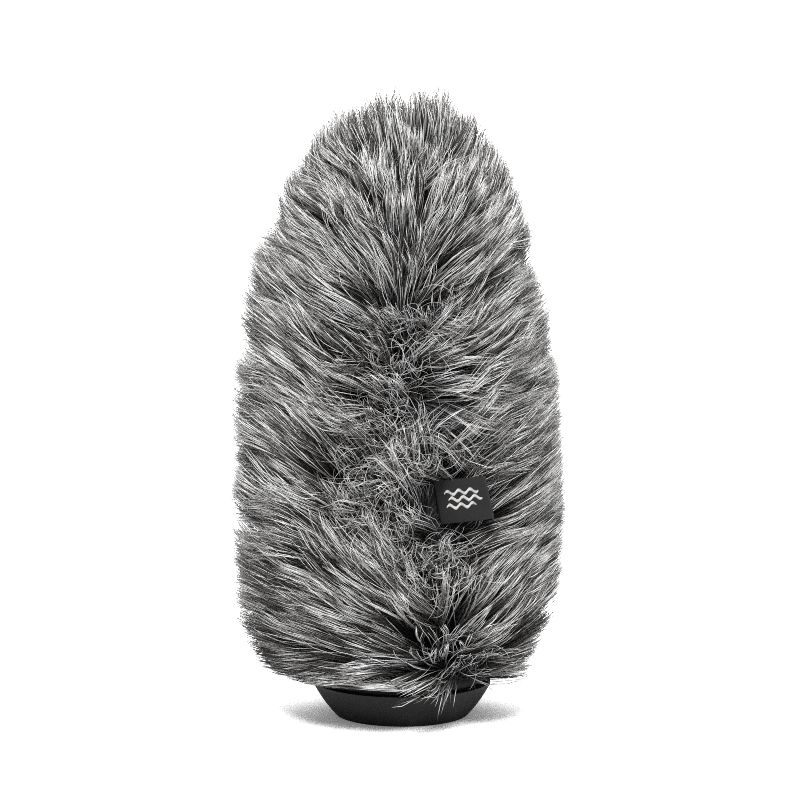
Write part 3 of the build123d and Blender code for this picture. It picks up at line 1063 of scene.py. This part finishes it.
def stitch(verts, faces, along, up, length, width, lean):
    """One raised satin stitch on the label's front: a rounded bar lying across its line."""
    rings = 5
    corners = 6
    first = len(verts)
    for ring in range(rings + 1):
        share = ring / rings
        swell = math.sin(math.pi * (0.08 + 0.84 * share)) ** 0.5
        centre_up = up + length * (share - 0.5)
        centre_along = along + lean * length * (share - 0.5)
        for corner in range(corners):
            angle = 2 * math.pi * corner / corners
            a = centre_along + math.cos(angle) * width / 2 * swell
            out = label_half[2] + (0.02 + 0.09 * math.sin(angle) * swell) * MM
            verts.append(label_point(a, centre_up, out))
    for ring in range(rings):
        for corner in range(corners):
            a = first + ring * corners + corner
            b = first + ring * corners + (corner + 1) % corners
            faces.append((a, b, b + corners, a + corners))
    faces.append(tuple(first + c for c in reversed(range(corners))))
    faces.append(tuple(first + rings * corners + c for c in range(corners)))


# The woven figure's rows: height, start and end. These and the waves' and stitches' sizes are in MM.
wave_rows = ((2.9, 3.4, 16.2), (0.6, 4.6, 17.0), (-1.7, 3.4, 14.4))
wave_height = 0.62
wave_length = 4.3
stitch_spacing = 0.3
stitch_width = 0.26
stitch_lean = 0.15
# Stitches are shortest at a row's ends.
stitch_least, stitch_more, stitch_end_reach = 0.55, 0.6, 1.2


def label_waves():
    """The woven figure: three rows of waves, as plain as wind on a weather map."""
    verts, faces = [], []
    for middle, start, end in wave_rows:
        for place in np.arange(start, end, stitch_spacing):
            wave = wave_height * math.sin((place - start) * 2 * math.pi / wave_length)
            ends = min(place - start, end - place)
            length = stitch_least + stitch_more * min(ends / stitch_end_reach, 1)
            up = (middle + wave) * MM
            stitch(verts, faces, place * MM, up, length * MM, stitch_width * MM, stitch_lean)
    return mesh_object("label_waves", verts, faces, label_thread_finish)


for piece in (folded_label(), label_waves()):
    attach(piece, "label")
    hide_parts("label_tag")

# ------------------------------------------------------------ finishes of the carried-over pieces
finishes = {
    "base_shell": rubber_finish,
    "base_collar": plastic_finish,
    "grip_ring": rubber_finish,
    "cage_half_left": plastic_finish,
    "cage_half_right": plastic_finish,
    "cage_nose_cap": plastic_finish,
    "mic_stop_pad": foam_finish,
    "foam_tube": foam_finish,
    "foam_nose": foam_finish,
    "seam_binding_tape": tape_finish,
    "seam_thread": tape_finish,
    "hem_binding": tape_finish,
    "hem_elastic": tape_finish,
    "hem_thread": tape_finish,
}
for node, finish in finishes.items():
    for holder in frame["nodes"][node].material_slots:
        holder.material = finish

# ------------------------------------------------------------ stage
view_elevation = math.radians(9.6)
view_distance = 2.4
view_width = 0.2664
view_centre = Vector((-0.00067, 0, 0.10655))
sensor_width = 36


# The floor and the world are brighter to the camera than to the fur.
floor_to_fur, floor_to_camera, floor_glow = 0.3, 0.97, 0.12
world_to_fur, world_to_camera = 0.45, 1.05


def stage_floor():
    made, nodes, links, shader = new_material("pale_floor")
    path = nodes.new("ShaderNodeLightPath")
    tone = ramp(nodes, [(0.0, grey(floor_to_fur)), (1.0, grey(floor_to_camera))])
    links.new(path.outputs["Is Camera Ray"], tone.inputs["Fac"])
    links.new(tone.outputs["Color"], shader.inputs["Base Color"])
    links.new(path.outputs["Is Camera Ray"], shader.inputs["Emission Strength"])
    shader.inputs["Emission Color"].default_value = (*grey(floor_glow), 1)
    shader.inputs["Roughness"].default_value = 0.9
    bpy.ops.mesh.primitive_plane_add(size=14)
    floor = bpy.context.object
    floor.name = "floor"
    floor.data.materials.append(made)


def sun(name, azimuth, elevation, strength, softness):
    """A soft, even light from a direction. Azimuth 0 is the front, and 90 is the right."""
    lamp = bpy.data.lights.new(name, "SUN")
    lamp.energy = strength
    lamp.angle = math.radians(softness)
    made = bpy.data.objects.new(name, lamp)
    turn, rise = math.radians(azimuth), math.radians(elevation)
    toward = Vector((math.sin(turn) * math.cos(rise), -math.cos(turn) * math.cos(rise), math.sin(rise)))
    made.rotation_euler = toward.to_track_quat("Z", "Y").to_euler()
    bpy.context.scene.collection.objects.link(made)


def stage_light():
    world = bpy.data.worlds.new("studio")
    world.use_nodes = True
    nodes, links = world.node_tree.nodes, world.node_tree.links
    glow = nodes["Background"]
    path = nodes.new("ShaderNodeLightPath")
    strength = nodes.new("ShaderNodeMapRange")
    strength.inputs["To Min"].default_value = world_to_fur
    strength.inputs["To Max"].default_value = world_to_camera
    links.new(path.outputs["Is Camera Ray"], strength.inputs["Value"])
    links.new(strength.outputs["Result"], glow.inputs["Strength"])
    glow.inputs["Color"].default_value = (1, 1, 1, 1)
    bpy.context.scene.world = world
    sun("key_front", -3, 50, 5.8, 20)
    sun("side_left", -157, 48, 2.3, 50)
    sun("side_right", 157, 48, 2.3, 50)


def stage_camera():
    lens = bpy.data.cameras.new("camera")
    lens.sensor_width = sensor_width
    lens.lens = sensor_width * view_distance / view_width
    lens.clip_end = 50
    camera = bpy.data.objects.new("camera", lens)
    reach = Vector((0, -math.cos(view_elevation), math.sin(view_elevation))) * view_distance
    camera.location = view_centre + reach
    camera.rotation_euler = (-reach).to_track_quat("-Z", "Y").to_euler()
    bpy.context.scene.collection.objects.link(camera)
    bpy.context.scene.camera = camera


stage_floor()
stage_light()
stage_camera()
bpy.context.scene.view_settings.view_transform = "Standard"
# A denoiser would smear the strands.
bpy.context.scene.cycles.use_denoising = False
bpy.context.scene.cycles.filter_width = 1.0
